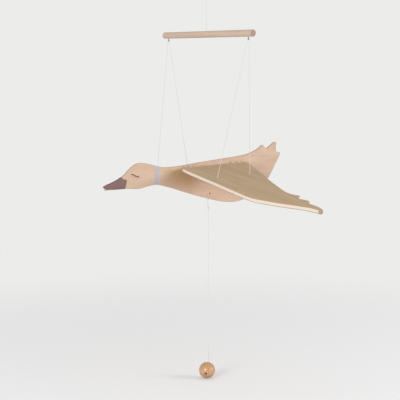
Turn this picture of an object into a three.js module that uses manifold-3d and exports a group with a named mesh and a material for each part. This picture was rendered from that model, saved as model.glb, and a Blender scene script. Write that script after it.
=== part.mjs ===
// Hanging mobile: a plywood goose with two hinged wings under a wooden crossbar.
// Each wing hangs from one end of the bar by a thread, so the wings beat when the ball
// on the pull cord is drawn down and let go.
// Millimetres, +Z up. The origin is the inside top of the hanging loop. The goose
// faces -X, its left wing is on -Y.
import * as THREE from "three";
import { mergeVertices } from "three/addons/utils/BufferGeometryUtils.js";
import Module from "manifold-3d";

const wasm = await Module();
wasm.setup();

// Heights are set out from the top of the wing roots and then lowered by this much.
const LOOP_TOP = 280;

const THREAD = 0.8;
const GAP = 0.3;
const PLY = 5;
const EASED_EDGE = 0.5;

const GOOSE_PITCH = 3.5;
const WING_DROOP = 9.5;
const HINGE_Y = 3.75;
const HINGE_DROP = PLY / 2;
const WING_ROOT_Y = 5;
const WING_HOLE_SPAN = 83.3;
const WING_HOLES_X = { front: -46.8, rear: 11.7 };
const THREAD_HOLE = 2.2;
const TIE_HOLE = 2.6;
const THREAD_CLEARANCE = 1.4;

const TIE_X = {
  front_hinge_tie_1: -50.5,
  front_hinge_tie_2: -41,
  rear_hinge_tie_1: 36,
  rear_hinge_tie_2: 48.5,
};
const TIE_LOOP = 4.5;
const TIE_BEND = 0.8;
const TIE_BODY_HOLE = 2.8;
const TIE_STRAND_Y = PLY / 2 + GAP + 1.5 * THREAD / 2;

const BAR = { x: -8.9, z: 196.9, diameter: 10, length: 237, tilt: 3.4, end_round: 1.6 };
const EYE = { span: 106.3, wire: 1.1, ring: 1.25, shank: 1.3, drop: 2.8, depth: 6.5, hole: 1.9 };

const KNOT = { turns: 1.7, radius: 0.9, rise: 1.15, strand: 0.9, core: 1 };
const HANGING = { knot_z: 258, loop_half_width: 6.5, into_bar: 4, hole: 1.5 };

const CORD_HOLE = { x: -6.2, z: -43.8, diameter: 3 };
const CORD_KNOT_Z = -66.4;
const BALL = { diameter: 25, x: -7.1, z: -318.2, bore: 3.6 };
const BORE_AXIS = new THREE.Vector3(0.664, 0.716, 0.216).normalize();

const WOOD = { color: 0xddbea3, roughness: 0.6 };
const WING_WOOD = { color: 0xb0987a, roughness: 0.6 };
const BAR_WOOD = { color: 0xdebea5, roughness: 0.55 };
const BALL_WOOD = { color: 0xc8966a, roughness: 0.35 };
const STEEL = { color: 0x6a6a6c, roughness: 0.4, metalness: 1 };
const COTTON = { color: 0xd8d4dc, roughness: 0.8 };

const rad = THREE.MathUtils.degToRad;
const vec = (x, y, z) => new THREE.Vector3(x, y, z);

// Goose body outline: x along the hinge line, z across it. Each stretch is one smooth
// curve, and two stretches meet at a corner.
const BODY_OUTLINE = [
  // beak, throat, breast, belly and the underside of the tail
  [
    [-187.9, -16.2], [-187.2, -18.3], [-184, -20.4], [-175, -22], [-150, -22.9], [-130, -24.7],
    [-114, -22.3], [-100, -21.7], [-80, -26.9], [-45, -39.4], [-8, -51.7], [18, -58.7],
    [38, -61.1], [56, -59.3], [74.7, -52.7], [93.5, -41.8], [108.1, -29.6], [119.9, -13.6],
    [129.2, -0.4], [132.7, 5],
  ],
  // three tail feathers
  [[132.7, 5], [133.7, 7.3], [133.4, 8.8], [130.6, 9.5], [126.3, 10.6]],
  [[126.3, 10.6], [125.7, 17.5], [126.8, 23.4], [126.4, 25.8], [123.4, 25.7], [115.6, 21.4], [107.4, 15.9]],
  [[107.4, 15.9], [102.8, 20], [99.8, 23], [96.2, 20.9]],
  // back, neck and head
  [
    [96.2, 20.9], [87.2, 16.4], [72, 11.6], [50, 9.1], [18, 7.4], [-24, 5],
    [-60, 2.7], [-80, 2.8], [-94, 4.9], [-108, 9.1], [-121, 12.4], [-132.9, 11.6],
    [-142.5, 6.3], [-154.5, -3.2], [-167.8, -9.6], [-182, -14.2], [-187.9, -16.2],
  ],
];

// Wing outline: x along the hinge line, h outwards from the middle of the goose.
const WING_OUTLINE = [
  // leading edge up to the longest feather
  [
    [-55.4, WING_ROOT_Y], [-58, 9], [-59.6, 18], [-61.8, 38], [-64.7, 73], [-67, 107],
    [-70.2, 140], [-72.5, 172], [-73.8, 190], [-73.3, 201], [-70.9, 210.5], [-66.6, 219.5],
    [-59.8, 234], [-50.2, 250], [-42.6, 261.5], [-36, 274], [-34, 281.5], [-33.2, 287],
    [-32.3, 290.8], [-30.2, 292.4], [-27, 291.2], [-24.6, 287.6],
  ],
  [[-24.6, 287.6], [-22.4, 281.4], [-20.6, 273], [-20.2, 262], [-20.2, 255.4]],
  [[-20.2, 255.4], [-16.2, 251.6], [-13.2, 248.6], [-11.4, 245], [-12.4, 238], [-16, 229.4]],
  [
    [-16, 229.4], [-10.4, 223], [-6.6, 220.2], [-3.9, 215.6], [-6.6, 210.6], [-8.3, 202], [-7.3, 191],
    [1.5, 164.7], [13.8, 131], [31.8, 88.5], [48.4, 46], [57.4, 23],
  ],
  // rounded corner at the rear of the root
  [[57.4, 23], [61.2, 12.6], [62, 8.6], [60.6, 6], [57.4, WING_ROOT_Y]],
];

function outlinePoints(stretches) {
  const points = [];
  for (const stretch of stretches) {
    const curve = new THREE.CatmullRomCurve3(stretch.map(([x, y]) => vec(x, y, 0)), false, "centripetal");
    const count = 2 * (stretch.length - 1);
    points.push(...curve.getPoints(count).slice(0, count));
  }
  const last = stretches.at(-1).at(-1);
  const first = stretches[0][0];
  if (Math.hypot(last[0] - first[0], last[1] - first[1]) > 1e-6) points.push(vec(...last, 0));
  return points.map((p) => new THREE.Vector2(p.x, p.y));
}

// A flat board lying in X-Y, its thickness centred on Z = 0, with eased edges.
function board(stretches) {
  const geometry = new THREE.ExtrudeGeometry(new THREE.Shape(outlinePoints(stretches)), {
    depth: PLY - 2 * EASED_EDGE,
    bevelEnabled: true,
    bevelThickness: EASED_EDGE,
    bevelSize: EASED_EDGE,
    bevelOffset: -EASED_EDGE,
    bevelSegments: 1,
  });
  return geometry.translate(0, 0, -PLY / 2 + EASED_EDGE);
}

function solid(geometry) {
  const plain = geometry.clone();
  plain.deleteAttribute("normal");
  plain.deleteAttribute("uv");
  const merged = mergeVertices(plain, 1e-4);
  return new wasm.Manifold(new wasm.Mesh({
    numProp: 3,
    vertProperties: new Float32Array(merged.attributes.position.array),
    triVerts: new Uint32Array(merged.index.array),
  }));
}

function fromSolid(manifold) {
  const { vertProperties, triVerts } = manifold.getMesh();
  const geometry = new THREE.BufferGeometry();
  geometry.setAttribute("position", new THREE.BufferAttribute(new Float32Array(vertProperties), 3));
  geometry.setIndex(new THREE.BufferAttribute(new Uint32Array(triVerts), 1));
  return geometry;
}

function cut(geometry, tools) {
  let body = solid(geometry);
  for (const tool of tools) body = body.subtract(solid(tool));
  return fromSolid(body);
}

function join(geometries) {
  return fromSolid(geometries.map(solid).reduce((all, next) => all.add(next)));
}

// A rod from one point to another.
function rod(from, to, diameter, sides = 9) {
  const axis = to.clone().sub(from);
  const geometry = new THREE.CylinderGeometry(diameter / 2, diameter / 2, axis.length(), sides);
  geometry.applyQuaternion(new THREE.Quaternion().setFromUnitVectors(vec(0, 1, 0), axis.clone().normalize()));
  return geometry.translate(...from.clone().add(to).multiplyScalar(0.5).toArray());
}

// A route whose points are kept exactly, so the rings of a tube stand where they are needed.
class Route extends THREE.Curve {
  constructor(points, closed = false) {
    super();
    this.points = points;
    this.closed = closed;
  }
  at(index) {
    const count = this.points.length;
    if (this.closed) return this.points[(index + count) % count];
    return this.points[Math.min(Math.max(index, 0), count - 1)];
  }
  steps() {
    return this.closed ? this.points.length : this.points.length - 1;
  }
  getPointAt(u) {
    return this.at(Math.round(u * this.steps())).clone();
  }
  getPoint(t) {
    return this.getPointAt(t);
  }
  getTangentAt(u) {
    const index = Math.round(u * this.steps());
    return this.at(index + 1).clone().sub(this.at(index - 1)).normalize();
  }
}

function tube(points, diameter = THREAD, sides = 8) {
  const section = new THREE.Shape(
    Array.from({ length: sides }, (_, i) => {
      const turn = 2 * Math.PI * i / sides;
      return new THREE.Vector2(diameter / 2 * Math.cos(turn), diameter / 2 * Math.sin(turn));
    }),
  );
  const route = new Route(points);
  const settings = { steps: route.steps(), extrudePath: route, bevelEnabled: false };
  return new THREE.ExtrudeGeometry(section, settings);
}

function ring(points, diameter = THREAD, sides = 5) {
  const route = new Route(points, true);
  const geometry = new THREE.TubeGeometry(route, route.steps(), diameter / 2, sides, true);
  geometry.deleteAttribute("normal");
  geometry.deleteAttribute("uv");
  return mergeVertices(geometry, 1e-4);
}

// Points of an arc in a plane given by two unit axes, both ends included.
function arc(centre, u, v, radius, fromDegrees, toDegrees, steps) {
  return Array.from({ length: steps + 1 }, (_, i) => {
    const turn = rad(fromDegrees + (toDegrees - fromDegrees) * i / steps);
    return centre.clone()
      .addScaledVector(u, radius * Math.cos(turn))
      .addScaledVector(v, radius * Math.sin(turn));
  });
}

// Points between two ends, without the ends.
function between(from, to, parts) {
  return Array.from({ length: parts - 1 }, (_, i) => from.clone().lerp(to, (i + 1) / parts));
}

// An overhand knot: wraps wound up a thread around its point, pulled tight on their core.
function knot(centre, axis = vec(0, 0, 1)) {
  const turnTo = new THREE.Quaternion().setFromUnitVectors(vec(0, 0, 1), axis.clone().normalize());
  const steps = 9;
  const wrap = Array.from({ length: steps + 1 }, (_, i) => {
    const share = i / steps;
    const turn = 2 * Math.PI * KNOT.turns * share;
    const reach = KNOT.radius * Math.sin(Math.PI * (0.12 + 0.76 * share)) ** 0.5;
    return vec(reach * Math.cos(turn), reach * Math.sin(turn), KNOT.rise * KNOT.turns * (share - 0.5))
      .applyQuaternion(turnTo)
      .add(centre);
  });
  const core = new THREE.SphereGeometry(KNOT.core, 6, 4).rotateX(Math.PI / 2).scale(1, 1, 1.3);
  core.applyQuaternion(turnTo).translate(...centre.toArray());
  return join([tube(wrap, KNOT.strand, 5), core]);
}

// From the goose's own lines (x along the hinge, z across it) to the pitched goose.
const pitchTurn = new THREE.Matrix4().makeRotationY(-rad(GOOSE_PITCH));
const goosePoint = (x, y, z) => vec(x, y, z).applyMatrix4(pitchTurn);
const goosePlace = (geometry) => geometry.applyMatrix4(pitchTurn);

// side is -1 for the left wing and 1 for the right one. h is measured along the wing from
// the middle of the goose, up from the wing's middle plane, which holds the hinge axis.
function wingPoint(side, x, h, up) {
  const droop = rad(WING_DROOP);
  const out = h - HINGE_Y;
  return goosePoint(
    x,
    side * (HINGE_Y + out * Math.cos(droop) + up * Math.sin(droop)),
    -out * Math.sin(droop) + up * Math.cos(droop) - HINGE_DROP,
  );
}

function wingMatrix(side) {
  const origin = wingPoint(side, 0, 0, 0);
  const along = wingPoint(side, 1, 0, 0).sub(origin);
  const out = wingPoint(side, 0, 1, 0).sub(origin);
  const up = wingPoint(side, 0, 0, 1).sub(origin);
  return new THREE.Matrix4().makeBasis(along, out, up).setPosition(origin);
}

function gooseBody() {
  const flat = board(BODY_OUTLINE).rotateX(Math.PI / 2);
  const through = (x, z, width) => rod(vec(x, -2 * PLY, z), vec(x, 2 * PLY, z), width);
  const holes = Object.values(TIE_X).map((x) => through(x, -HINGE_DROP, TIE_BODY_HOLE));
  holes.push(through(CORD_HOLE.x, CORD_HOLE.z, CORD_HOLE.diameter));
  return goosePlace(cut(flat, holes));
}

function wing(side) {
  const through = (x, h, width) => rod(vec(x, h, -2 * PLY), vec(x, h, 2 * PLY), width);
  const holes = Object.values(WING_HOLES_X).map((x) => through(x, WING_HOLE_SPAN, THREAD_HOLE));
  const innerReach = Math.sqrt(TIE_LOOP ** 2 - (PLY / 2) ** 2);
  const tieHole = HINGE_Y + (TIE_LOOP + innerReach) / 2;
  for (const x of Object.values(TIE_X)) holes.push(through(x, tieHole, TIE_HOLE));
  const flat = cut(board(WING_OUTLINE), holes);
  if (side > 0) return flat.applyMatrix4(wingMatrix(side));
  // The left wing is the same board turned over, so its faces are wound the other way.
  flat.applyMatrix4(wingMatrix(side));
  const index = flat.index.array;
  for (let i = 0; i < index.length; i += 3) [index[i], index[i + 1]] = [index[i + 1], index[i]];
  return flat;
}

// A thread loop through the body's hole and round the hinge line of each wing.
function hingeTie(x) {
  const strandZ = THREAD / 2 + GAP / 2 + 0.05;
  const bend = TIE_BEND;
  const bendY = TIE_STRAND_Y + bend;
  const bendZ = Math.sqrt((TIE_LOOP - bend) ** 2 - (bendY - HINGE_Y) ** 2);
  const leave = THREE.MathUtils.radToDeg(Math.atan2(bendZ, bendY - HINGE_Y));
  const u = vec(0, 1, 0);
  const v = vec(0, 0, 1);
  const quarter = [
    ...arc(vec(x, TIE_STRAND_Y - bend, strandZ + bend), u, v, bend, -90, 0, 2),
    ...arc(vec(x, bendY, bendZ), u, v, bend, 180, leave, 2),
    ...arc(vec(x, HINGE_Y, 0), u, v, TIE_LOOP, leave, 0, 3).slice(1),
  ];
  const mirrored = (points, sy, sz) => points.map((p) => vec(p.x, sy * p.y, sz * p.z));
  const back = (points) => [...points].reverse();
  const loop = [
    ...quarter,
    ...back(mirrored(quarter, 1, -1)).slice(1),
    ...mirrored(quarter, -1, -1),
    ...back(mirrored(quarter, -1, 1)).slice(1),
  ];
  return goosePlace(ring(loop).translate(0, 0, -HINGE_DROP));
}

// The bar's own line: y along it, lifted by its tilt.
const barTilt = rad(BAR.tilt);
const barPoint = (y, up = 0) => vec(BAR.x, y * Math.cos(barTilt), BAR.z + y * Math.sin(barTilt) + up);
const eyeTop = (side) => {
  const y = side * EYE.span;
  return vec(BAR.x, y, BAR.z + y * Math.tan(barTilt) - BAR.diameter / 2);
};
const eyeRing = (side) => eyeTop(side).add(vec(0, 0, -EYE.drop));

function crossbar() {
  const half = BAR.length / 2;
  const radius = BAR.diameter / 2;
  const round = BAR.end_round;
  const end = [90, 45, 0].map((angle) => new THREE.Vector2(
    radius - round + round * Math.cos(rad(angle)),
    half - round + round * Math.sin(rad(angle)),
  ));
  const profile = [new THREE.Vector2(0, half), ...end];
  const mirrored = [...profile].reverse().map((p) => new THREE.Vector2(p.x, -p.y));
  const turned = new THREE.LatheGeometry([...profile, ...mirrored].reverse(), 24);
  turned.rotateX(barTilt).translate(BAR.x, 0, BAR.z);
  const holes = [-1, 1].map((side) =>
    rod(eyeTop(side).add(vec(0, 0, -2)), eyeTop(side).add(vec(0, 0, EYE.depth + GAP)), EYE.hole),
  );
  holes.push(rod(barPoint(0, radius - HANGING.into_bar - GAP), barPoint(0, radius + 2), HANGING.hole));
  return cut(turned, holes);
}

function screwEye(side) {
  const centre = eyeRing(side);
  const eye = new THREE.TorusGeometry(EYE.ring, EYE.wire / 2, 8, 14).rotateY(Math.PI / 2);
  eye.translate(...centre.toArray());
  const foot = centre.clone().add(vec(0, 0, EYE.ring));
  const tip = eyeTop(side).add(vec(0, 0, EYE.depth));
  return join([eye, rod(foot, tip, EYE.shank, 10)]);
}

// One thread per side: up from the front hole of the wing, over the wire of its screw eye
// and down to the rear hole.
function wingThread(side) {
  const wire = eyeRing(side).add(vec(0, 0, -EYE.ring));
  const radius = EYE.wire / 2 + GAP + THREAD / 2;
  const ends = Object.values(WING_HOLES_X).map((x) =>
    wingPoint(side, x, WING_HOLE_SPAN, PLY / 2 + THREAD_CLEARANCE),
  );
  const down = ends[0].clone().add(ends[1]).multiplyScalar(0.5).sub(wire).setX(0).normalize();
  const along = vec(1, 0, 0);
  const [frontTurn, rearTurn] = ends.map((end, i) => {
    const offset = end.clone().sub(wire);
    const x = offset.dot(along);
    const drop = offset.dot(down);
    const swing = Math.acos(radius / Math.hypot(x, drop));
    return THREE.MathUtils.radToDeg(Math.atan2(drop, x) + (i === 0 ? swing : -swing));
  });
  const over = arc(wire, along, down, radius, frontTurn, rearTurn + 360, 8);
  return tube([
    ends[0],
    ...between(ends[0], over[0], 7),
    ...over,
    ...between(over.at(-1), ends[1], 7),
    ends[1],
  ]);
}

// The end of a wing thread: it fills the hole from the top face and is knotted underneath.
function threadKnot(side, x) {
  const centre = wingPoint(side, x, WING_HOLE_SPAN, -PLY / 2 - 1.9);
  const top = wingPoint(side, x, WING_HOLE_SPAN, PLY / 2 - 0.2);
  return join([knot(centre, top.clone().sub(centre)), tube([centre, top], THREAD, 6)]);
}

function hangingThread() {
  const start = barPoint(0, BAR.diameter / 2 - HANGING.into_bar);
  const knotAt = vec(BAR.x, 0, HANGING.knot_z);
  const top = LOOP_TOP + THREAD / 2;
  const wide = HANGING.loop_half_width;
  const climb = [[1.2, 1.6], [3.4, 5.2], [5.6, 10], [wide, 15]];
  const crown = arc(vec(0, 0, top - wide), vec(1, 0, 0), vec(0, 0, 1), wide, 0, 180, 8);
  const side = new THREE.CatmullRomCurve3(
    [vec(0.5, 0, knotAt.z), ...climb.map(([x, z]) => vec(x, 0, knotAt.z + z)), ...crown.slice(0, 1)],
    false,
    "centripetal",
  ).getPoints(6).slice(0, 6);
  const left = [...side].reverse().map((p) => vec(-p.x, 0, p.z));
  const loop = [...side, ...crown, ...left].map((p) => p.add(vec(BAR.x, 0, 0)));
  return join([
    tube([start, ...between(start, knotAt, 8), knotAt]),
    tube(loop),
    knot(knotAt),
  ]);
}

// The pull cord hangs in a loop through the belly hole, is knotted under it and runs down to
// the ball, where it comes round behind and into the bore.
function pullCord() {
  const hole = CORD_HOLE;
  const faceY = PLY / 2 + GAP + THREAD / 2;
  const bend = 1.1;
  const height = hole.z - 0.2;
  const knotAt = vec(-4.8, 0, CORD_KNOT_Z);
  const through = (side) =>
    arc(vec(hole.x, side * (faceY - bend), height - bend), vec(0, side, 0), vec(0, 0, 1), bend, 0, 90, 2)
      .map((p) => goosePoint(...p.toArray()));
  const near = through(-1);
  const far = through(1).reverse();
  const intoKnot = (side) => knotAt.clone().add(vec(0, side * 0.46, 0.6));
  const hang = (points) => new THREE.CatmullRomCurve3(points, false, "centripetal").getPoints(6).slice(1);
  const nearDrop = hang([near[0], vec(-10.4, -faceY, -51.4), vec(-9.3, -2.5, -55.6), intoKnot(-1)]);
  const farDrop = hang([far.at(-1), vec(-3.2, faceY, -51), vec(-4.2, 2.2, -58), intoKnot(1)]);
  const loop = [...nearDrop.reverse(), ...near, ...far, ...farDrop];
  const ball = vec(BALL.x, 0, BALL.z);
  const entry = (out) => ball.clone().addScaledVector(BORE_AXIS, BALL.diameter / 2 + out);
  const bendIn = new THREE.CatmullRomCurve3(
    [
      vec(-4.7, 0, -268), vec(-4.2, 0.6, -278), vec(-1, 4.4, -293), vec(3.2, 10.6, -305),
      vec(5, 13.1, -311), vec(4.6, 13.4, -313.8), entry(2.6), entry(0), entry(-4), entry(-9),
    ],
    false,
    "centripetal",
  ).getPoints(18);
  return join([
    tube(loop),
    tube([knotAt, ...between(knotAt, bendIn[0], 12), ...bendIn]),
    knot(knotAt),
  ]);
}

function woodenBall() {
  const centre = vec(BALL.x, 0, BALL.z);
  const ball = new THREE.SphereGeometry(BALL.diameter / 2, 20, 12).translate(...centre.toArray());
  const reach = BORE_AXIS.clone().multiplyScalar(BALL.diameter);
  return cut(ball, [rod(centre.clone().sub(reach), centre.clone().add(reach), BALL.bore)]);
}

const part = new THREE.Group();
part.name = "goose_mobile";

function add(name, geometry, look) {
  const mesh = new THREE.Mesh(geometry.translate(0, 0, -LOOP_TOP), new THREE.MeshStandardMaterial(look));
  mesh.name = name;
  part.add(mesh);
}

add("crossbar", crossbar(), BAR_WOOD);
add("hanging_thread", hangingThread(), COTTON);
add("goose_body", gooseBody(), WOOD);
for (const [sideName, side] of [["left", -1], ["right", 1]]) {
  add(`${sideName}_screw_eye`, screwEye(side), STEEL);
  add(`${sideName}_wing_thread`, wingThread(side), COTTON);
  add(`${sideName}_wing`, wing(side), WING_WOOD);
  for (const [place, x] of Object.entries(WING_HOLES_X)) {
    add(`${sideName}_${place}_thread_knot`, threadKnot(side, x), COTTON);
  }
}
for (const [name, x] of Object.entries(TIE_X)) add(name, hingeTie(x), COTTON);
add("pull_cord", pullCord(), COTTON);
add("wooden_ball", woodenBall(), BALL_WOOD);

export default part;
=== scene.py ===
"""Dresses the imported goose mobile: boards, threads, ball, paint, light and the photograph's view."""

import math

import bmesh
import bpy
from mathutils import Matrix, Vector

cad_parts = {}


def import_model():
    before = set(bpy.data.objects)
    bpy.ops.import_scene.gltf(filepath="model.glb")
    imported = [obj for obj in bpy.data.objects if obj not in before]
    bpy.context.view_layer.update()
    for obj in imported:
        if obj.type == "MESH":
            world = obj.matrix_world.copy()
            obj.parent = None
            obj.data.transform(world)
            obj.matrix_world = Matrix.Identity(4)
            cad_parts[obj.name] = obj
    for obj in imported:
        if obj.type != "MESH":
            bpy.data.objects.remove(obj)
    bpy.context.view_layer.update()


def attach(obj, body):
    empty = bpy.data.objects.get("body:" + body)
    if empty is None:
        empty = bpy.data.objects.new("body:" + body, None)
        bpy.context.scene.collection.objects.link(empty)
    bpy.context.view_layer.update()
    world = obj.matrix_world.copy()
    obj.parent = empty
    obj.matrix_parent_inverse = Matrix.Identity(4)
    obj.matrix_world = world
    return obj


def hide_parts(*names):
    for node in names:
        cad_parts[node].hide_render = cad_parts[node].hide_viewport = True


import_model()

# Driving dimensions in millimetres and radians. Places are measured from the middle of the hinge
# line, which is LOOP_TOP below the row frame's origin.
MM = 0.001
METRE = 1000.0
LOOP_TOP = 280.0
THREAD = 0.8
GAP = 0.3
PLY = 5.0
EASED_EDGE = 0.7
GOOSE_PITCH = math.radians(3.5)
WING_DROOP = math.radians(9.5)
HINGE_Y = 3.75
HINGE_DROP = PLY / 2
WING_ROOT_Y = 5.0
HOLE_SPAN = 83.3
HOLES_X = {"front": -46.8, "rear": 11.7}
TIES = {
    "front_hinge_tie_1": -50.5,
    "front_hinge_tie_2": -41.0,
    "rear_hinge_tie_1": 36.0,
    "rear_hinge_tie_2": 48.5,
}
TIE_LOOP = 4.5
TIE_BEND = 0.8
TIE_BODY_HOLE = 2.8
TIE_HOLE = 2.6
THREAD_HOLE = 2.2
BAR_X = -8.9
BAR_Z = 196.9
BAR_TILT = math.radians(3.4)
BAR_LENGTH = 237.0
BAR_RADIUS = 5.0
BAR_ROUND = 1.6
BAR_DRILL_START = 7.0
EYE_HOLE = 1.9
EYE_HOLE_TOP = 1.8
HANG_HOLE = 1.5
HANG_HOLE_BOTTOM = 0.7
BOARD_DRILL_REACH = 9.0
BALL_DRILL_REACH = 20.0
EYE_SPAN = 106.3
EYE_WIRE = 1.1
EYE_RING = 1.25
EYE_DROP = 2.8
EYE_SHANK = 5.5
CORD_HOLE = (-6.2, -43.8)
CORD_HOLE_WIDTH = 3.0
CORD_KNOT = Vector((-4.8, 0, -66.4))
CORD_BEND = 1.1
CORD_BELOW_MIDDLE = 0.2
HANG_DEPTH = 4.0
HANG_KNOT_Z = 258.0
LOOP_HALF = 6.5
BALL = Vector((-7.1, 0, -318.2))
BALL_RADIUS = 12.5
BALL_BORE = 3.6
BORE_AXIS = Vector((0.664, 0.716, 0.216)).normalized()
FLOOR_GAP = 0.6
X_AXIS, Y_AXIS, Z_AXIS = Vector((1, 0, 0)), Vector((0, 1, 0)), Vector((0, 0, 1))


# ---------------------------------------------------------------- camera
VIEW_AZIMUTH = math.radians(34)
VIEW_DOWN = math.radians(4.18)
camera = bpy.data.objects.new("camera", bpy.data.cameras.new("camera"))
camera.data.sensor_width = 36
camera.data.lens = 90
camera.data.clip_end = 100
camera.location = (-0.8694, -1.2589, -0.2225)
camera.rotation_euler = (math.pi / 2 - VIEW_DOWN, 0, -VIEW_AZIMUTH)
bpy.context.scene.collection.objects.link(camera)
bpy.context.scene.camera = camera


# ---------------------------------------------------------------- places
def world(p):
    """A point measured from the hinge line, in millimetres, as a point in the row frame."""
    return Vector((p[0], p[1], p[2] - LOOP_TOP)) * MM


def goose_point(x, y, z):
    """From the goose's own lines (x along the hinge, z across it) to the pitched goose."""
    c, s = math.cos(GOOSE_PITCH), math.sin(GOOSE_PITCH)
    return Vector((x * c - z * s, y, x * s + z * c))


def wing_point(side, x, h, up):
    """From a wing board (x along its root, h out from the body, up from its middle) to the hinge line."""
    out = h - HINGE_Y
    c, s = math.cos(WING_DROOP), math.sin(WING_DROOP)
    return goose_point(x, side * (HINGE_Y + out * c + up * s), -out * s + up * c - HINGE_DROP)


def board_matrix(origin, x_axis, y_axis):
    """Where a board's own X, Y and thickness go, in the row frame."""
    x, y = x_axis.normalized(), y_axis.normalized()
    turn = Matrix((x, y, x.cross(y))).transposed().to_4x4()
    return Matrix.Translation(world(origin)) @ turn


def arc(centre, u, v, radius, start, stop, steps):
    """Points of an arc in the plane of two unit axes, angles in degrees, ends included."""
    points = []
    for i in range(steps + 1):
        turn = math.radians(start + (stop - start) * i / steps)
        points.append(centre + u * (radius * math.cos(turn)) + v * (radius * math.sin(turn)))
    return points


def between(a, b, start, stop, at):
    """The value at a place between two others, or beyond them."""
    return (a * (stop - at) + b * (at - start)) / (stop - start)


def spline(points, per_span):
    """A centripetal Catmull-Rom curve through the points."""
    pts = [Vector(p) for p in points]
    pts = [pts[0] * 2 - pts[1], *pts, pts[-1] * 2 - pts[-2]]
    out = []
    for i in range(1, len(pts) - 2):
        p = pts[i - 1:i + 3]
        t = [0.0]
        for a, b in zip(p, p[1:]):
            t.append(t[-1] + max((b - a).length, 1e-9) ** 0.5)
        for k in range(per_span):
            s = t[1] + (t[2] - t[1]) * k / per_span
            first, second, third = [between(p[j], p[j + 1], t[j], t[j + 1], s) for j in range(3)]
            first = between(first, second, t[0], t[2], s)
            third = between(second, third, t[1], t[3], s)
            out.append(between(first, third, t[1], t[2], s))
    out.append(pts[-2])
    return out


def resample(points, step):
    """The same line with a point about every step."""
    out = [points[0]]
    for a, b in zip(points, points[1:]):
        parts = max(1, round((b - a).length / step))
        out += [a.lerp(b, (i + 1) / parts) for i in range(parts)]
    return out


# ---------------------------------------------------------------- materials
# Tones of wood are light grain, dark grain and fleck; those of a cut edge are pale and deep veneer.
# BALL_UNDER_TONE darkens the ball's lower side in place of the shading that the photograph shows.
BODY_TONES = (0.65, 0.465, 0.345), (0.58, 0.395, 0.285), (0.41, 0.26, 0.165)
BODY_EDGE_TONES = (0.66, 0.48, 0.33), (0.42, 0.26, 0.15)
WING_TONES = (0.60, 0.43, 0.255), (0.50, 0.35, 0.20), (0.35, 0.225, 0.12)
# Painted warm shade in the corner where the wing meets the body.
WING_ROOT_SHADE_TONE = (0.62, 0.40, 0.19)
WING_EDGE_TONES = (0.80, 0.70, 0.58), (0.58, 0.43, 0.33)
# Painted shade for the bottom of the wing's edge.
WING_EDGE_UNDERSHADE_TONE = (0.34, 0.26, 0.21)
WING_TIP_TONE = (0.40, 0.285, 0.17)
BAR_TONES = (0.67, 0.51, 0.41), (0.58, 0.42, 0.325), (0.40, 0.26, 0.185)
BAR_END_TONES = (0.36, 0.235, 0.19), (0.44, 0.30, 0.245)
BALL_TONES = (0.62, 0.36, 0.19), (0.48, 0.25, 0.11)
BALL_UNDER_TONE = (0.27, 0.13, 0.055)
THREAD_TONES = (0.60, 0.57, 0.585), (0.82, 0.79, 0.80)
STEEL_TONES = (0.16, 0.16, 0.17), (0.34, 0.34, 0.35)

# The broad bands of grain are this much of the fine grain's scale.
SLOW_GRAIN = 0.22
# Sizes and ranges inside the pieces, in metres.
VENEER_PAIR = 0.002
EDGE_UNDERSHADE_DEPTH = (-0.0015, -0.0009)
WING_ROOT_SHADE_STRIP = (0.007, 0.02)
TIP_STRIP = (0.2885, 0.2900)
BALL_RINGS = 0.0042
BALL_UNDER = (-0.0115, 0.002)


class Graph:
    """A small helper to write a material's nodes as formulas."""

    def __init__(self, name):
        self.material = bpy.data.materials.new(name)
        self.material.use_nodes = True
        self.tree = self.material.node_tree
        self.shader = self.tree.nodes["Principled BSDF"]

    def node(self, kind, inputs=(), **settings):
        node = self.tree.nodes.new(kind)
        for key, value in settings.items():
            setattr(node, key, value)
        for key, value in dict(inputs).items():
            self.put(node.inputs[key], value)
        return node

    def put(self, socket, value):
        if isinstance(value, bpy.types.NodeSocket):
            self.tree.links.new(value, socket)
        else:
            socket.default_value = value

    def math(self, operation, a, b=0.0, c=0.0, clamp=False):
        node = self.node("ShaderNodeMath", {0: a, 1: b, 2: c}, operation=operation, use_clamp=clamp)
        return node.outputs[0]

    def place(self, kind="Object"):
        return self.node("ShaderNodeTexCoord").outputs[kind]

    def axis(self, vector, index):
        return self.node("ShaderNodeSeparateXYZ", {0: vector}).outputs[index]

    def stretch(self, vector, scale):
        return self.node("ShaderNodeMapping", {"Vector": vector, "Scale": scale}).outputs[0]

    def noise(self, vector, scale, detail=3.0, roughness=0.55):
        inputs = {"Vector": vector, "Scale": scale, "Detail": detail, "Roughness": roughness}
        return self.node("ShaderNodeTexNoise", inputs).outputs[0]

    def range(self, value, low, high, to_low=0.0, to_high=1.0):
        inputs = {"Value": value, "From Min": low, "From Max": high, "To Min": to_low, "To Max": to_high}
        return self.node("ShaderNodeMapRange", inputs, interpolation_type="SMOOTHSTEP").outputs[0]

    def mix(self, share, a, b):
        node = self.node("ShaderNodeMix", data_type="RGBA")
        for socket, value in zip((node.inputs[0], node.inputs[6], node.inputs[7]), (share, a, b)):
            self.put(socket, (*value, 1) if isinstance(value, tuple) else value)
        return node.outputs[2]

    def bump(self, height, strength, distance):
        inputs = {"Height": height, "Strength": strength, "Distance": distance}
        self.put(self.shader.inputs["Normal"], self.node("ShaderNodeBump", inputs).outputs[0])

    def set(self, **values):
        for key, value in values.items():
            if isinstance(value, tuple):
                value = (*value, 1)
            self.put(self.shader.inputs[key.replace("_", " ")], value)


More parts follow.
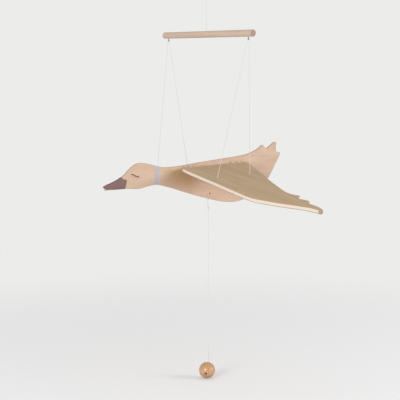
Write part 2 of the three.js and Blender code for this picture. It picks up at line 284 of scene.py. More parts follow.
def wood_colour(g, spot, tones, grain, fleck_size, fleck_share):
    """Bands of grain with fine flecks. grain and fleck_size are scales per metre along X, Y, Z."""
    light, dark, fleck = tones
    slow = g.noise(g.stretch(spot, tuple(v * SLOW_GRAIN for v in grain)), 1.0, 2.0)
    fine = g.noise(g.stretch(spot, grain), 1.0, 4.0, 0.65)
    marks = g.noise(g.stretch(spot, fleck_size), 1.0, 1.0)
    tone = g.math("ADD", g.math("MULTIPLY", slow, 0.55), g.math("MULTIPLY", fine, 0.45))
    base = g.mix(g.range(tone, 0.34, 0.66), light, dark)
    mark = g.range(marks, 0.6, 0.74, 0.0, fleck_share)
    return g.mix(mark, base, fleck), fine, mark


def line_side(g, x, y, start, end):
    """Distance in millimetres from a line, positive on its left as it runs from start to end."""
    dx, dy = end[0] - start[0], end[1] - start[1]
    size = math.hypot(dx, dy)
    return g.math(
        "ADD",
        g.math("MULTIPLY_ADD", x, -dy / size, (dy * start[0] - dx * start[1]) / size),
        g.math("MULTIPLY", y, dx / size),
    )


def stroke(g, x, y, start, end, half_width):
    """Distance in millimetres outside a painted stroke with round ends."""
    dx, dy = end[0] - start[0], end[1] - start[1]
    square = dx * dx + dy * dy
    px = g.math("SUBTRACT", x, start[0])
    py = g.math("SUBTRACT", y, start[1])
    along = g.math("MULTIPLY_ADD", px, dx / square, g.math("MULTIPLY", py, dy / square))
    share = g.math("ADD", along, 0.0, clamp=True)
    qx = g.math("MULTIPLY_ADD", share, -dx, px)
    qy = g.math("MULTIPLY_ADD", share, -dy, py)
    reach = g.math("SQRT", g.math("MULTIPLY_ADD", qx, qx, g.math("MULTIPLY", qy, qy)))
    return g.math("SUBTRACT", reach, half_width)


# Paint and marks on the body board, by its own X and Y in millimetres, alike on both sides.
BEAK_EDGES = [
    ((-156.5, -8.0), (-159.6, -4.1)),
    ((-151, -9.8), (-156.5, -8.0)),
    ((-153.7, -22.5), (-150.7, -12.7)),
]
BEAK_CORNER = 1.6
BAND_FRONT = [(-101.1, 6.6), (-104.8, -21.3)]
BAND_REAR = [(-93.6, 5.0), (-96.9, -22.0)]
EYE_LID = [(-142.4, -2.6), (-139.0, -3.0), (-137.0, -4.6), (-134.4, -6.0), (-130.4, -6.6)]
EYE_LASHES = [
    ((-138.8, -3.6), (-141.0, -5.8)),
    ((-136.0, -5.6), (-137.6, -8.0)),
    ((-132.5, -6.5), (-133.2, -9.5)),
    ((-130.8, -6.9), (-128.4, -8.6)),
]
LID_HALF_WIDTH = 0.72
LASH_HALF_WIDTH = 0.38
PAINT_BEAK = (0.195, 0.107, 0.104)
PAINT_BAND = (0.45, 0.43, 0.475)
PAINT_EYE = (0.06, 0.035, 0.04)
PAINT_BLUR = 0.12
# Small painted shadows just above the holes of the first front tie and the first rear tie.
TIE_SHADOWS = [((-50.4, 0.3), (-48.9, 0.5)), ((35.4, 0.9), (37.3, 1.0))]
TIE_SHADOW_HALF_WIDTH = 0.7
TIE_SHADOW_TONE = (0.20, 0.10, 0.035)
# Painted shade on the body below the wing's root, given as a darker, warmer tint.
BODY_SHADE_BY_ROOT = ((-62.0, -5.0), (-46.0, -10.0))
BODY_SHADE_REACH = (3.0, 38.0)
BODY_SHADE_TOP = (-5.0, 1.0)
BODY_SHADE_TONE = (0.40, 0.235, 0.095)


def beak_inside(g, x, y):
    """Distance in millimetres inside the beak's paint, which two edges bound above and one behind."""
    crown, brow, cheek = [line_side(g, x, y, *edge) for edge in BEAK_EDGES]
    return g.math("SMOOTH_MIN", g.math("MAXIMUM", crown, brow), cheek, BEAK_CORNER)


def band_inside(g, x, y):
    """Distance in millimetres inside the neck band."""
    rear = g.math("MULTIPLY", line_side(g, x, y, *BAND_REAR), -1.0)
    return g.math("MINIMUM", line_side(g, x, y, *BAND_FRONT), rear)


def eye_inside(g, x, y):
    """Distance in millimetres inside the strokes of the closed lid and its lashes."""
    strokes = [stroke(g, x, y, a, b, LID_HALF_WIDTH) for a, b in zip(EYE_LID, EYE_LID[1:])]
    strokes += [stroke(g, x, y, a, b, LASH_HALF_WIDTH) for a, b in EYE_LASHES]
    eye = strokes[0]
    for other in strokes[1:]:
        eye = g.math("MINIMUM", eye, other)
    return g.math("MULTIPLY", eye, -1.0)


def paint(g, spot, colour):
    """Adds the painted shade below the wing root, the painted shadows by the ties, the beak, the neck band
    and the eye.
    """
    x = g.math("MULTIPLY", g.axis(spot, 0), METRE)
    y = g.math("MULTIPLY", g.axis(spot, 1), METRE)
    waver = g.math("MULTIPLY_ADD", g.noise(spot, 220.0, 2.0), 0.5, -0.25)
    # Painted shade on the body below the wing's root.
    reach = g.range(stroke(g, x, y, *BODY_SHADE_BY_ROOT, 0.0), *BODY_SHADE_REACH, 0.72, 0.0)
    share = g.math("MULTIPLY", reach, g.range(y, *BODY_SHADE_TOP, 1.0, 0.15))
    colour = g.mix(share, colour, BODY_SHADE_TONE)
    # Painted shadows of the ties, just above their holes.
    tie_shadows = g.math("MINIMUM", *[stroke(g, x, y, *tie_shadow, TIE_SHADOW_HALF_WIDTH) for tie_shadow in TIE_SHADOWS])
    colour = g.mix(g.range(tie_shadows, -0.2, 0.4, 0.8, 0.0), colour, TIE_SHADOW_TONE)
    cover = []
    for inside, tint in ((beak_inside, PAINT_BEAK), (band_inside, PAINT_BAND), (eye_inside, PAINT_EYE)):
        distance = g.math("ADD", inside(g, x, y), waver)
        share = g.range(distance, -PAINT_BLUR, PAINT_BLUR, 0.0, 0.96)
        colour = g.mix(share, colour, tint)
        cover.append(share)
    return colour, g.math("MAXIMUM", cover[0], cover[1])


def board_face(name, tones, grain, fleck_size, fleck_share, painted=False, root=None):
    """The broad side of a board. root is the painted warm shade that a wing takes along its hinge, in the
    corner where it meets the body.
    """
    g = Graph(name)
    spot = g.place()
    colour, fine, mark = wood_colour(g, spot, tones, grain, fleck_size, fleck_share)
    # Painted warm shade along a wing's hinge, where it meets the body.
    if root:
        reach = g.math("ABSOLUTE", g.axis(spot, 1))
        colour = g.mix(g.range(reach, *WING_ROOT_SHADE_STRIP, 0.65, 0.0), colour, root)
    rough = g.range(fine, 0.3, 0.7, 0.5, 0.64)
    if painted:
        colour, cover = paint(g, spot, colour)
        rough = g.math("MULTIPLY_ADD", cover, -0.1, rough)
    g.set(Base_Color=colour, Roughness=rough, Specular_IOR_Level=0.35)
    height = g.math("SUBTRACT", fine, g.math("MULTIPLY", mark, 0.6))
    g.bump(height, 0.35, 0.0002)
    return g.material


def board_edge(name, tones, painted=False, under_shade=None, tip=None):
    """Cut plywood: veneers by height through the board, with end grain flecks.
    The bottom of the edge may take a painted shade, and the far end of a wing a tone of its own."""
    g = Graph(name)
    spot = g.place()
    wander = g.math("MULTIPLY_ADD", g.noise(spot, 60.0, 2.0), 0.0005, g.axis(spot, 2))
    veneer = g.math("SINE", g.math("MULTIPLY", wander, 2 * math.pi / VENEER_PAIR))
    line = g.range(veneer, 0.55, 0.95)
    speck = g.noise(g.stretch(spot, (700, 700, 1600)), 1.0, 3.0, 0.6)
    share = g.math("MULTIPLY_ADD", line, 0.4, g.range(speck, 0.45, 0.75, 0.0, 0.45))
    colour = g.mix(share, *tones)
    # Painted shade along the bottom of the edge.
    if under_shade:
        colour = g.mix(g.range(wander, *EDGE_UNDERSHADE_DEPTH, 0.9, 0.0), colour, under_shade)
    if tip:
        reach = g.math("ABSOLUTE", g.axis(spot, 1))
        colour = g.mix(g.range(reach, *TIP_STRIP, 0.0, 0.9), colour, tip)
    if painted:
        colour, _ = paint(g, spot, colour)
    g.set(Base_Color=colour, Roughness=g.range(speck, 0.3, 0.7, 0.6, 0.75), Specular_IOR_Level=0.3)
    g.bump(g.math("MULTIPLY_ADD", line, -0.5, speck), 0.4, 0.0002)
    return g.material


def thread_material():
    """Two-ply twist: U runs once round the thread, V along it in millimetres."""
    g = Graph("thread")
    spot = g.place("UV")
    fibre = g.noise(g.stretch(spot, (3.0, 1.2, 1.0)), 4.0, 3.0, 0.7)
    along = g.math("MULTIPLY", g.axis(spot, 1), 3.2)
    lay = g.math("SINE", g.math("MULTIPLY_ADD", g.axis(spot, 0), 2 * math.pi * 2, along))
    share = g.math("MULTIPLY_ADD", g.range(lay, -1.0, 1.0), 0.5, g.math("MULTIPLY", fibre, 0.5))
    colour = g.mix(share, *THREAD_TONES)
    g.set(Base_Color=colour, Roughness=g.range(fibre, 0.3, 0.7, 0.75, 0.9), Specular_IOR_Level=0.25)
    g.bump(share, 0.5, 0.0001)
    return g.material


def steel_material():
    """Dull steel wire with worn streaks."""
    g = Graph("screw_steel")
    spot = g.place()
    worn = g.noise(g.stretch(spot, (900, 900, 2600)), 1.0, 4.0, 0.6)
    colour = g.mix(g.range(worn, 0.35, 0.7), *STEEL_TONES)
    g.set(Base_Color=colour, Metallic=0.85, Roughness=g.range(worn, 0.3, 0.7, 0.32, 0.5))
    g.bump(worn, 0.25, 0.0001)
    return g.material


def bar_material():
    """Wood with its grain along the bar and darker end grain."""
    g = Graph("bar_wood")
    spot = g.place()
    colour, fine, mark = wood_colour(g, spot, BAR_TONES, (420, 26, 420), (1500, 260, 1500), 0.5)
    reach = g.math("ABSOLUTE", g.axis(spot, 1))
    end = g.range(reach, (BAR_LENGTH / 2 - 1.0) * MM, (BAR_LENGTH / 2 - 0.4) * MM)
    rings = g.noise(g.stretch(spot, (900, 60, 900)), 1.0, 3.0)
    end_colour = g.mix(g.range(rings, 0.35, 0.65), *BAR_END_TONES)
    g.set(
        Base_Color=g.mix(end, colour, end_colour),
        Roughness=g.range(fine, 0.3, 0.7, 0.45, 0.6),
        Specular_IOR_Level=0.4,
    )
    g.bump(g.math("SUBTRACT", fine, mark), 0.35, 0.0002)
    return g.material


def ball_material():
    """Glossy ringed wood, with painted shade that darkens its lower side."""
    g = Graph("ball_wood")
    spot = g.place()
    warp = g.math("MULTIPLY_ADD", g.noise(spot, 90.0, 3.0), 0.010, g.axis(spot, 0))
    rings = g.math("SINE", g.math("MULTIPLY", warp, 2 * math.pi / BALL_RINGS))
    fine = g.noise(g.stretch(spot, (1500, 260, 1500)), 1.0, 3.0)
    share = g.math("MULTIPLY_ADD", g.range(rings, -1.0, 1.0), 0.6, g.math("MULTIPLY", fine, 0.4))
    colour = g.mix(share, *BALL_TONES)
    # Painted shade: the ball's lower side is darker.
    colour = g.mix(g.range(g.axis(spot, 2), *BALL_UNDER, 0.9, 0.0), colour, BALL_UNDER_TONE)
    rough = g.range(fine, 0.3, 0.7, 0.32, 0.42)
    g.set(Base_Color=colour, Roughness=rough, Coat_Weight=0.6, Coat_Roughness=0.12)
    g.bump(fine, 0.15, 0.0001)
    return g.material


BODY_FACE = board_face("body_face", BODY_TONES, (60, 420, 60), (420, 1500, 420), 0.55, painted=True)
BODY_EDGE = board_edge("body_edge", BODY_EDGE_TONES, painted=True)
WING_FACE = board_face(
    "wing_face", WING_TONES, (520, 26, 60), (1700, 140, 400), 0.5, root=WING_ROOT_SHADE_TONE
)
WING_EDGE = board_edge("wing_edge", WING_EDGE_TONES, under_shade=WING_EDGE_UNDERSHADE_TONE, tip=WING_TIP_TONE)
THREAD_LOOK = thread_material()
STEEL_LOOK = steel_material()
BAR_LOOK = bar_material()
BALL_LOOK = ball_material()


# ---------------------------------------------------------------- meshes
def new_object(name, mesh, body, nodes, materials, holes=(), matrix=Matrix.Identity(4)):
    """A piece that rides on a body. holes are (start, end, width) in the mesh's own millimetres."""
    obj = bpy.data.objects.new(name, mesh)
    bpy.context.scene.collection.objects.link(obj)
    for material in materials:
        mesh.materials.append(material)
    for start, end, width in holes:
        drill(obj, start * MM, end * MM, width * MM)
    obj.matrix_world = matrix
    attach(obj, body)
    if nodes:
        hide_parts(*nodes)
    return obj


def rod_mesh(name, start, end, width):
    """The round tool that a hole is cut with."""
    work = bmesh.new()
    bmesh.ops.create_cone(
        work, cap_ends=True, segments=24, radius1=width / 2, radius2=width / 2, depth=(end - start).length
    )
    turn = Z_AXIS.rotation_difference(end - start).to_matrix().to_4x4()
    bmesh.ops.transform(work, matrix=Matrix.Translation((start + end) / 2) @ turn, verts=work.verts)
    mesh = bpy.data.meshes.new(name)
    work.to_mesh(mesh)
    work.free()
    return mesh


def drill(obj, start, end, width):
    """Cuts a round hole through an object, given in its own metres."""
    tool = bpy.data.objects.new("drill", rod_mesh("drill", start, end, width))
    bpy.context.scene.collection.objects.link(tool)
    cut = obj.modifiers.new("drill", "BOOLEAN")
    cut.operation = "DIFFERENCE"
    cut.solver = "EXACT"
    cut.object = tool
    bpy.context.view_layer.update()
    graph = bpy.context.evaluated_depsgraph_get()
    result = bpy.data.meshes.new_from_object(obj.evaluated_get(graph))
    obj.modifiers.clear()
    obj.data = result
    bpy.data.objects.remove(tool)


def solid_mesh(name, verts, faces):
    """A closed mesh with its faces turned outwards."""
    mesh = bpy.data.meshes.new(name)
    mesh.from_pydata(verts, [], faces)
    work = bmesh.new()
    work.from_mesh(mesh)
    bmesh.ops.recalc_face_normals(work, faces=work.faces)
    work.to_mesh(mesh)
    work.free()
    return mesh


def smooth(mesh, degrees=40):
    """Smooth shading, but for edges sharper than the angle."""
    mesh.polygons.foreach_set("use_smooth", [True] * len(mesh.polygons))
    mesh.set_sharp_from_angle(angle=math.radians(degrees))


def frames(points, closed):
    """Two unit axes across a line at each point, carried along it without twist."""
    count = len(points)
    tangents = []
    for i in range(count):
        before = points[i - 1] if closed or i else points[0]
        after = points[(i + 1) % count] if closed or i < count - 1 else points[-1]
        tangents.append((after - before).normalized())
    u = tangents[0].orthogonal().normalized()
    out = []
    for tangent in tangents:
        u = (u - tangent * u.dot(tangent)).normalized()
        out.append((u, tangent.cross(u)))
    return out


def tube_mesh(name, points, radius, sides=10, closed=False, lay=2.6 * MM):
    """A two-ply twist along the points, in metres, with one turn in each lay."""
    verts, faces, uvs = [], [], []
    run = 0.0
    runs = []
    for i, p in enumerate(points):
        run += (p - points[i - 1]).length if i else 0.0
        runs.append(run)
    turns = round(run / lay) if closed else run / lay
    for p, (u, v), s in zip(points, frames(points, closed), runs):
        phase = 2 * math.pi * turns * s / run if run else 0.0
        for k in range(sides):
            turn = 2 * math.pi * k / sides
            r = radius * (1 - 0.2 * math.sin(turn - phase / 2) ** 2)
            verts.append(p + u * (r * math.cos(turn)) + v * (r * math.sin(turn)))
    rings = len(points)
    for i in range(rings if closed else rings - 1):
        j = (i + 1) % rings
        for k in range(sides):
            m = (k + 1) % sides
            faces.append((i * sides + k, i * sides + m, j * sides + m, j * sides + k))
            low = runs[i] * METRE
            high = (runs[j] if j else run) * METRE
            uvs += [(k / sides, low), ((k + 1) / sides, low), ((k + 1) / sides, high), (k / sides, high)]
    if not closed:
        for base, order in ((0, -1), ((rings - 1) * sides, 1)):
            faces.append(tuple(base + k for k in range(sides))[::order])
            uvs += [(0.5, 0.0)] * sides
    mesh = bpy.data.meshes.new(name)
    mesh.from_pydata(verts, [], faces)
    layer = mesh.uv_layers.new(name="UVMap")
    for loop, uv in zip(layer.data, uvs):
        loop.uv = uv
    smooth(mesh, 60)
    return mesh


def thread(name, points, body, nodes=(), closed=False, step=0.5):
    """A twisted thread along points given in millimetres from the hinge line."""
    line = resample([world(p) for p in points] + ([world(points[0])] if closed else []), step * MM)
    if closed:
        line = line[:-1]
    mesh = tube_mesh(name, line, THREAD / 2 * MM, closed=closed)
    return new_object(name, mesh, body, nodes, [THREAD_LOOK]), line


# The knots, in turns and millimetres. The last three are for a knot under a wing: how far its wraps
# lie below the board, and how far its end stays below the board's top and stands out of the wraps.
KNOT_WRAPS = 2.5
KNOT_STEPS = 48
KNOT_RADIUS = 0.82
KNOT_SWAY = 0.16
KNOT_HEIGHT = 1.9
KNOT_CROSSING = 0.35
KNOT_BELOW = 1.9
KNOT_END_BELOW_TOP = 0.2
KNOT_END_OUT = 1.2


def knot_points(centre, axis):
    """A pulled-tight overhand knot about a thread: two and a half wraps that cross themselves."""
    turn = Z_AXIS.rotation_difference(axis)
    points = []
    for i in range(KNOT_STEPS + 1):
        share = i / KNOT_STEPS
        a = 2 * math.pi * KNOT_WRAPS * share
        reach = KNOT_RADIUS + KNOT_SWAY * math.cos(2 * a)
        rise = KNOT_HEIGHT * (share - 0.5) + KNOT_CROSSING * math.sin(1.5 * a)
        points.append(centre + turn @ Vector((reach * math.cos(a), reach * math.sin(a), rise)))
    return points


def outline(stretches):
    """A closed outline of smooth stretches that meet in corners, with a straight side to close it."""
    points = []
    for stretch in stretches:
        points += [p.to_2d() for p in spline([(x, y, 0) for x, y in stretch], 10)][:-1]
    last, first = Vector(stretches[-1][-1]), Vector(stretches[0][0])
    if (last - first).length > 1e-6:
        points += [last.lerp(first, i / 12) for i in range(12)]
    return points


def inset(points, amount):
    """The outline moved inwards by an amount, corner by corner."""
    count = len(points)
    area = sum(points[i - 1].cross(points[i]) for i in range(count))
    way = 1 if area > 0 else -1
    out = []
    for i in range(count):
        a = (points[i] - points[i - 1]).normalized()
        b = (points[(i + 1) % count] - points[i]).normalized()
        normal = Vector((-(a + b).y, (a + b).x)).normalized() * way
        stretch = 1 / max(0.6, normal.dot(Vector((-b.y, b.x)) * way))
        out.append(points[i] + normal * amount * stretch)
    return out


def board(name, stretches, holes, matrix, body, nodes, looks):
    """A board with softly rounded edges. holes are (x, y, width), looks its face and its edge."""
    flat = outline(stretches)
    levels = []
    for degrees in (0, 30, 60, 90):
        turn = math.radians(degrees)
        levels.append((EASED_EDGE * (1 - math.sin(turn)), PLY / 2 - EASED_EDGE * (1 - math.cos(turn))))
    levels += [(cut, -z) for cut, z in reversed(levels)]
    verts = []
    for cut, z in levels:
        verts += [Vector((p.x, p.y, z)) * MM for p in inset(flat, cut)]
    count = len(flat)
    faces = [tuple(range(count)), tuple(range((len(levels) - 1) * count, len(levels) * count))[::-1]]
    for i in range(len(levels) - 1):
        for k in range(count):
            m = (k + 1) % count
            faces.append((i * count + k, (i + 1) * count + k, (i + 1) * count + m, i * count + m))
    reach = Z_AXIS * BOARD_DRILL_REACH
    drilled = [(Vector((x, y, 0)) - reach, Vector((x, y, 0)) + reach, width) for x, y, width in holes]
    mesh = solid_mesh(name, verts, faces)
    obj = new_object(name, mesh, body, nodes, looks, drilled, matrix)
    for polygon in obj.data.polygons:
        polygon.material_index = 0 if abs(polygon.normal.z) > 0.85 else 1
    smooth(obj.data, 34)


# ---------------------------------------------------------------- boards
# Outlines in the boards' own millimetres: the body's along the hinge line and up, the wing's along
# its root and out from the body.
BODY_OUTLINE = [
    # beak, throat, breast, belly and the underside of the tail
    [
        (-187.9, -16.2), (-187.2, -18.3), (-184, -20.4), (-175, -22), (-150, -22.9), (-130, -24.7),
        (-114, -22.3), (-100, -21.7), (-80, -26.9), (-45, -39.4), (-8, -51.7), (18, -58.7),
        (38, -61.1), (56, -59.3), (74.7, -52.7), (93.5, -41.8), (108.1, -29.6), (119.9, -13.6),
        (129.2, -0.4), (132.7, 5),
    ],
    # three tail feathers
    [(132.7, 5), (133.7, 7.3), (133.4, 8.8), (130.6, 9.5), (126.3, 10.6)],
    [(126.3, 10.6), (125.7, 17.5), (126.8, 23.4), (126.4, 25.8), (123.4, 25.7), (115.6, 21.4), (107.4, 15.9)],
    [(107.4, 15.9), (102.8, 20), (99.8, 23), (96.2, 20.9)],
    # back, neck and head
    [
        (96.2, 20.9), (87.2, 16.4), (72, 11.6), (50, 9.1), (18, 7.4), (-24, 5),
        (-60, 2.7), (-80, 2.8), (-94, 4.9), (-108, 9.1), (-121, 12.4), (-132.9, 11.6),
        (-142.5, 6.3), (-154.5, -3.2), (-167.8, -9.6), (-182, -14.2), (-187.9, -16.2),
    ],
]
WING_OUTLINE = [
    # leading edge and tip
    [
        (-55.4, WING_ROOT_Y), (-58, 9), (-59.6, 18), (-61.8, 38), (-64.7, 73), (-67, 107),
        (-70.2, 140), (-72.5, 172), (-73.8, 190), (-73.3, 201), (-70.9, 210.5), (-66.6, 219.5),
        (-59.8, 234), (-50.2, 250), (-42.6, 261.5), (-36, 274), (-34, 281.5), (-33.2, 287),
        (-32.3, 290.8), (-30.2, 292.4), (-27, 291.2), (-24.6, 287.6),
    ],
    # trailing side of the first and the second feather
    [(-24.6, 287.6), (-22.4, 281.4), (-20.6, 273), (-20.2, 262), (-20.2, 255.4)],
    [(-20.2, 255.4), (-16.2, 251.6), (-13.2, 248.6), (-11.4, 245), (-12.4, 238), (-16, 229.4)],
    # third feather and trailing edge
    [
        (-16, 229.4), (-10.4, 223), (-6.6, 220.2), (-3.9, 215.6), (-6.6, 210.6), (-8.3, 202), (-7.3, 191),
        (1.5, 164.7), (13.8, 131), (31.8, 88.5), (48.4, 46), (57.4, 23),
    ],
    # rear corner of the root
    [(57.4, 23), (61.2, 12.6), (62, 8.6), (60.6, 6), (57.4, WING_ROOT_Y)],
]
body_holes = [(x, -HINGE_DROP, TIE_BODY_HOLE) for x in TIES.values()]
body_holes.append((*CORD_HOLE, CORD_HOLE_WIDTH))
board(
    "goose", BODY_OUTLINE, body_holes,
    board_matrix(Vector((0, 0, 0)), goose_point(1, 0, 0), goose_point(0, 0, 1)),
    "goose", ["goose_body"], [BODY_FACE, BODY_EDGE],
)

tie_centre = HINGE_Y + (TIE_LOOP + math.sqrt(TIE_LOOP ** 2 - (PLY / 2) ** 2)) / 2
for side_name, side in (("left", -1), ("right", 1)):
    origin = wing_point(side, 0, 0, 0)
    x_axis = wing_point(side, 1, 0, 0) - origin
    y_axis = (wing_point(side, 0, 1, 0) - origin) * side
    wing_outline = [[(x, side * h) for x, h in stretch] for stretch in WING_OUTLINE]
    wing_holes = [(x, side * HOLE_SPAN, THREAD_HOLE) for x in HOLES_X.values()]
    wing_holes += [(x, side * tie_centre, TIE_HOLE) for x in TIES.values()]
    board(
        f"{side_name}_wing_board", wing_outline, wing_holes, board_matrix(origin, x_axis, y_axis),
        f"{side_name}_wing", [f"{side_name}_wing"], [WING_FACE, WING_EDGE],
    )


# ---------------------------------------------------------------- crossbar, screw eyes and ball
def lathe(name, profile, sides=48):
    """A solid turned about its own Y, from (radius, y) points in millimetres, poles first and last."""
    verts = [Vector((0, profile[0][1], 0)) * MM]
    for radius, y in profile[1:-1]:
        for k in range(sides):
            turn = 2 * math.pi * k / sides
            verts.append(Vector((radius * math.cos(turn), y, radius * math.sin(turn))) * MM)
    verts.append(Vector((0, profile[-1][1], 0)) * MM)
    rings = len(profile) - 2
    faces = []
    for k in range(sides):
        m = (k + 1) % sides
        faces.append((0, 1 + k, 1 + m))
        for i in range(rings - 1):
            a, b = 1 + i * sides, 1 + (i + 1) * sides
            faces.append((a + k, b + k, b + m, a + m))
        last = 1 + (rings - 1) * sides
        faces.append((last + k, len(verts) - 1, last + m))
    return solid_mesh(name, verts, faces)


def bar_profile():
    """Half the bar with its rounded end, then the same mirrored."""
    half = BAR_LENGTH / 2
    points = [(0, half)]
    for degrees in (90, 70, 50, 30, 15, 0):
        turn = math.radians(degrees)
        out = BAR_RADIUS - BAR_ROUND + BAR_ROUND * math.cos(turn)
        points.append((out, half - BAR_ROUND + BAR_ROUND * math.sin(turn)))
    return points + [(r, -y) for r, y in reversed(points)]


bar_holes = []
for side in (-1, 1):
    y = side * EYE_SPAN / math.cos(BAR_TILT)
    bar_holes.append((Vector((0, y, -BAR_DRILL_START)), Vector((0, y, EYE_HOLE_TOP)), EYE_HOLE))
bar_holes.append((Vector((0, 0, HANG_HOLE_BOTTOM)), Vector((0, 0, BAR_DRILL_START)), HANG_HOLE))
bar = new_object(
    "bar", lathe("bar", bar_profile()), "crossbar", ["crossbar"], [BAR_LOOK], bar_holes,
    Matrix.Translation(world((BAR_X, 0, BAR_Z))) @ Matrix.Rotation(BAR_TILT, 4, "X"),
)
smooth(bar.data)


def eye_top(side):
    """Where a screw eye enters the underside of the tilted bar."""
    y = side * EYE_SPAN
    return Vector((BAR_X, y, BAR_Z + y * math.tan(BAR_TILT) - BAR_RADIUS))


def screw_eye(name, side, node):
    """A bent wire ring whose end runs on as the shank."""
    centre = eye_top(side) - Z_AXIS * EYE_DROP
    line = arc(centre, Y_AXIS, Z_AXIS, EYE_RING, 118, 412, 30)
    line += [centre + Z_AXIS * (EYE_RING + rise) for rise in (0.7, 1.4)]
    line.append(eye_top(side) + Z_AXIS * EYE_SHANK)
    points = resample([world(p) for p in line], 0.4 * MM)
    mesh = tube_mesh(name, points, EYE_WIRE / 2 * MM, sides=14, lay=1.0)
    new_object(name, mesh, "crossbar", [node], [STEEL_LOOK])


for side_name, side in (("left", -1), ("right", 1)):
    screw_eye(f"{side_name}_eye_screw", side, f"{side_name}_screw_eye")

ball_profile = [
    (BALL_RADIUS * math.sin(math.radians(a)), BALL_RADIUS * math.cos(math.radians(a)))
    for a in range(0, 181, 5)
]
ball = new_object(
    "ball", lathe("ball", ball_profile, 72), "goose", ["wooden_ball"], [BALL_LOOK],
    [(Y_AXIS * -BALL_DRILL_REACH, Y_AXIS * BALL_DRILL_REACH, BALL_BORE)],
    Matrix.Translation(world(BALL)) @ Y_AXIS.rotation_difference(BORE_AXIS).to_matrix().to_4x4(),
)
smooth(ball.data, 50)


# ---------------------------------------------------------------- threads
def tie_loop(x):
    """Through the body's hole and round the hinge line of each wing."""
    strand_y = PLY / 2 + GAP + 1.5 * THREAD / 2
    strand_z = THREAD / 2 + GAP / 2 + 0.05
    bend_y = strand_y + TIE_BEND
    bend_z = math.sqrt((TIE_LOOP - TIE_BEND) ** 2 - (bend_y - HINGE_Y) ** 2)
    leave = math.degrees(math.atan2(bend_z, bend_y - HINGE_Y))
    inner = Vector((x, strand_y - TIE_BEND, strand_z + TIE_BEND))
    quarter = arc(inner, Y_AXIS, Z_AXIS, TIE_BEND, -90, 0, 6)
    quarter += arc(Vector((x, bend_y, bend_z)), Y_AXIS, Z_AXIS, TIE_BEND, 180, leave, 6)
    quarter += arc(Vector((x, HINGE_Y, 0)), Y_AXIS, Z_AXIS, TIE_LOOP, leave, 0, 12)[1:]

    def flip(sy, sz):
        return [Vector((p.x, sy * p.y, sz * p.z)) for p in quarter]

    loop = quarter + flip(1, -1)[::-1][1:] + flip(-1, -1) + flip(-1, 1)[::-1][1:]
    return [goose_point(p.x, p.y, p.z - HINGE_DROP) for p in loop]


for name, x in TIES.items():
    thread(f"{name}_loop", tie_loop(x), "goose", [name], closed=True, step=0.4)


def wing_thread_points(side):
    """Up from the front hole, over the wire of the screw eye and down to the rear hole."""
    wire = eye_top(side) - Z_AXIS * (EYE_DROP + EYE_RING)
    radius = EYE_WIRE / 2 + GAP + THREAD / 2
    ends = [wing_point(side, x, HOLE_SPAN, PLY / 2) for x in HOLES_X.values()]
    down = (ends[0] + ends[1]) / 2 - wire
    down.x = 0
    down.normalize()
    turns = []
    for end_point, way in zip(ends, (1, -1)):
        offset = end_point - wire
        drop = offset.dot(down)
        swing = math.acos(radius / math.hypot(offset.x, drop))
        turns.append(math.degrees(math.atan2(drop, offset.x) + way * swing))
    over = arc(wire, X_AXIS, down, radius, turns[0], turns[1] + 360, 16)
    return [ends[0], *over, ends[1]]


for side_name, side in (("left", -1), ("right", 1)):
    thread(f"{side_name}_thread", wing_thread_points(side), "crossbar", [f"{side_name}_wing_thread"])
    for place, x in HOLES_X.items():
        name = f"{side_name}_{place}_thread_knot"
        low = wing_point(side, x, HOLE_SPAN, -PLY / 2 - KNOT_BELOW)
        high = wing_point(side, x, HOLE_SPAN, PLY / 2 - KNOT_END_BELOW_TOP)
        up = (high - low).normalized()
        thread(f"{name}_wraps", knot_points(low, up), f"{side_name}_wing", [name], step=0.3)
        thread(f"{name}_end", [low - up * KNOT_END_OUT, high], f"{side_name}_wing", step=0.4)

hang_start = Vector((BAR_X, 0, BAR_Z + BAR_RADIUS - HANG_DEPTH))
hang_knot = Vector((BAR_X, 0, HANG_KNOT_Z))
loop_top = LOOP_TOP + THREAD / 2
crown = arc(Vector((0, 0, loop_top - LOOP_HALF)), X_AXIS, Z_AXIS, LOOP_HALF, 0, 180, 24)
# One side of the loop above the knot, out and up from it, before its round crown.
climb = [(0.5, 0), (1.2, 1.6), (3.4, 5.2), (5.6, 10), (LOOP_HALF, 15)]
rise = spline([Vector((x, 0, HANG_KNOT_Z + z)) for x, z in climb] + crown[:1], 6)[:-1]
fall = [Vector((-p.x, p.y, p.z)) for p in reversed(rise)]
hang_loop, _ = thread("hanging_loop_thread", [p + X_AXIS * BAR_X for p in rise + crown + fall], "crossbar")
hang_wraps, _ = thread("hanging_loop_knot", knot_points(hang_knot, Z_AXIS), "crossbar", step=0.3)
hang_line, hang_path = thread("hanging_line", [hang_start, hang_knot], "crossbar", ["hanging_thread"])


def belly_loop():
    """Out of the knot, through the hole in the belly, a little below its middle, and back."""
    face_y = PLY / 2 + GAP + THREAD / 2
    hole_x, hole_z = CORD_HOLE
    height = hole_z - CORD_BELOW_MIDDLE

    def through(side):
        centre = Vector((hole_x, side * (face_y - CORD_BEND), height - CORD_BEND))
        return [goose_point(*p) for p in arc(centre, Y_AXIS * side, Z_AXIS, CORD_BEND, 0, 90, 8)]

    near, far = through(-1), through(1)[::-1]
    into = [CORD_KNOT + Vector((0, side * 0.46, 0.6)) for side in (-1, 1)]
    near_drop = spline([near[0], (-10.4, -face_y, -51.4), (-9.3, -2.5, -55.6), into[0]], 8)[1:]
    far_drop = spline([far[-1], (-3.2, face_y, -51), (-4.2, 2.2, -58), into[1]], 8)[1:]
    return near_drop[::-1] + near + far + far_drop


def entry(out):
    """A point on the ball's bore, so far outside the ball."""
    return BALL + BORE_AXIS * (BALL_RADIUS + out)


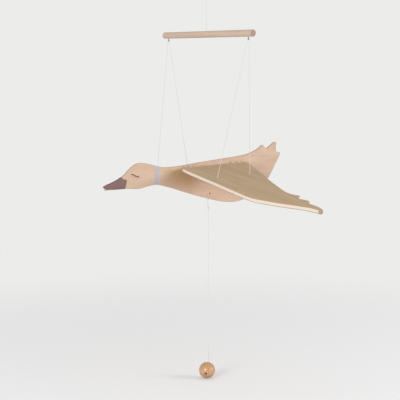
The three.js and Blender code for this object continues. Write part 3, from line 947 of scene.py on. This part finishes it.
# Down from the knot and round behind the ball into its bore.
CORD_ROUTE = [
    (-4.7, 0, -268), (-4.2, 0.6, -278), (-1, 4.4, -293), (3.2, 10.6, -305),
    (5, 13.1, -311), (4.6, 13.4, -313.8), entry(2.6), entry(0), entry(-4), entry(-9),
]
cord_loop, _ = thread("belly_loop", belly_loop(), "goose")
cord_wraps, _ = thread("belly_knot", knot_points(CORD_KNOT, Z_AXIS), "goose", step=0.3)
cord, cord_path = thread("pull_line", [CORD_KNOT, *spline(CORD_ROUTE, 6)], "goose", ["pull_cord"])


# ---------------------------------------------------------------- stage and light
FLOOR_RADIUS = 3.4
FLOOR_FADE = (0.3, 1.2)
LIGHT_TARGET = (0, 0, -0.3)
ROOM_LIGHT = 0.55
ROOM_SEEN = 0.84


def stage_material():
    """Matt pale paper that fades into the room with the distance from the ball, in metres."""
    g = Graph("stage")
    g.set(
        Base_Color=(0.79, 0.79, 0.80), Roughness=0.9, Specular_IOR_Level=0.1,
        Emission_Color=(1.0, 1.0, 1.0), Emission_Strength=0.2,
    )
    spot = g.node("ShaderNodeVectorMath", {0: g.place()}, operation="LENGTH").outputs["Value"]
    clear = g.node("ShaderNodeBsdfTransparent").outputs[0]
    share = g.range(spot, *FLOOR_FADE)
    fade = g.node("ShaderNodeMixShader", {0: share, 1: g.shader.outputs[0], 2: clear})
    g.put(g.tree.nodes["Material Output"].inputs[0], fade.outputs[0])
    return g.material


floor_mesh = bpy.data.meshes.new("floor")
work = bmesh.new()
bmesh.ops.create_circle(work, cap_ends=True, segments=96, radius=FLOOR_RADIUS)
work.to_mesh(floor_mesh)
work.free()
floor = bpy.data.objects.new("floor", floor_mesh)
floor.location = world((0, 0, BALL.z - BALL_RADIUS - FLOOR_GAP))
floor_mesh.materials.append(stage_material())
bpy.context.scene.collection.objects.link(floor)
# The floor goes with the goose, so that the ball stands just clear of it at every pose.
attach(floor, "goose")


def area_light(name, location, size, energy):
    """A square soft light, in metres and watts, that faces the mobile."""
    lamp = bpy.data.lights.new(name, "AREA")
    lamp.energy = energy
    lamp.size = size
    obj = bpy.data.objects.new(name, lamp)
    obj.location = location
    way = Vector(LIGHT_TARGET) - Vector(location)
    obj.rotation_euler = way.to_track_quat("-Z", "Y").to_euler()
    bpy.context.scene.collection.objects.link(obj)


area_light("key", (1.35, -1.45, 0.12), 0.6, 15)
area_light("front", (-1.9, -1.0, 0.05), 0.8, 24)

# The room lights the mobile softly. The camera sees it brighter than it lights.
sky = bpy.data.worlds.new("sky")
sky.use_nodes = True
backdrop = sky.node_tree.nodes["Background"]
backdrop.inputs[0].default_value = (1.0, 1.0, 0.99, 1)
seen = sky.node_tree.nodes.new("ShaderNodeLightPath").outputs["Is Camera Ray"]
level = sky.node_tree.nodes.new("ShaderNodeMapRange")
level.inputs["To Min"].default_value = ROOM_LIGHT
level.inputs["To Max"].default_value = ROOM_SEEN
sky.node_tree.links.new(seen, level.inputs["Value"])
sky.node_tree.links.new(level.outputs[0], backdrop.inputs[1])
bpy.context.scene.world = sky
bpy.context.scene.view_settings.view_transform = "Standard"
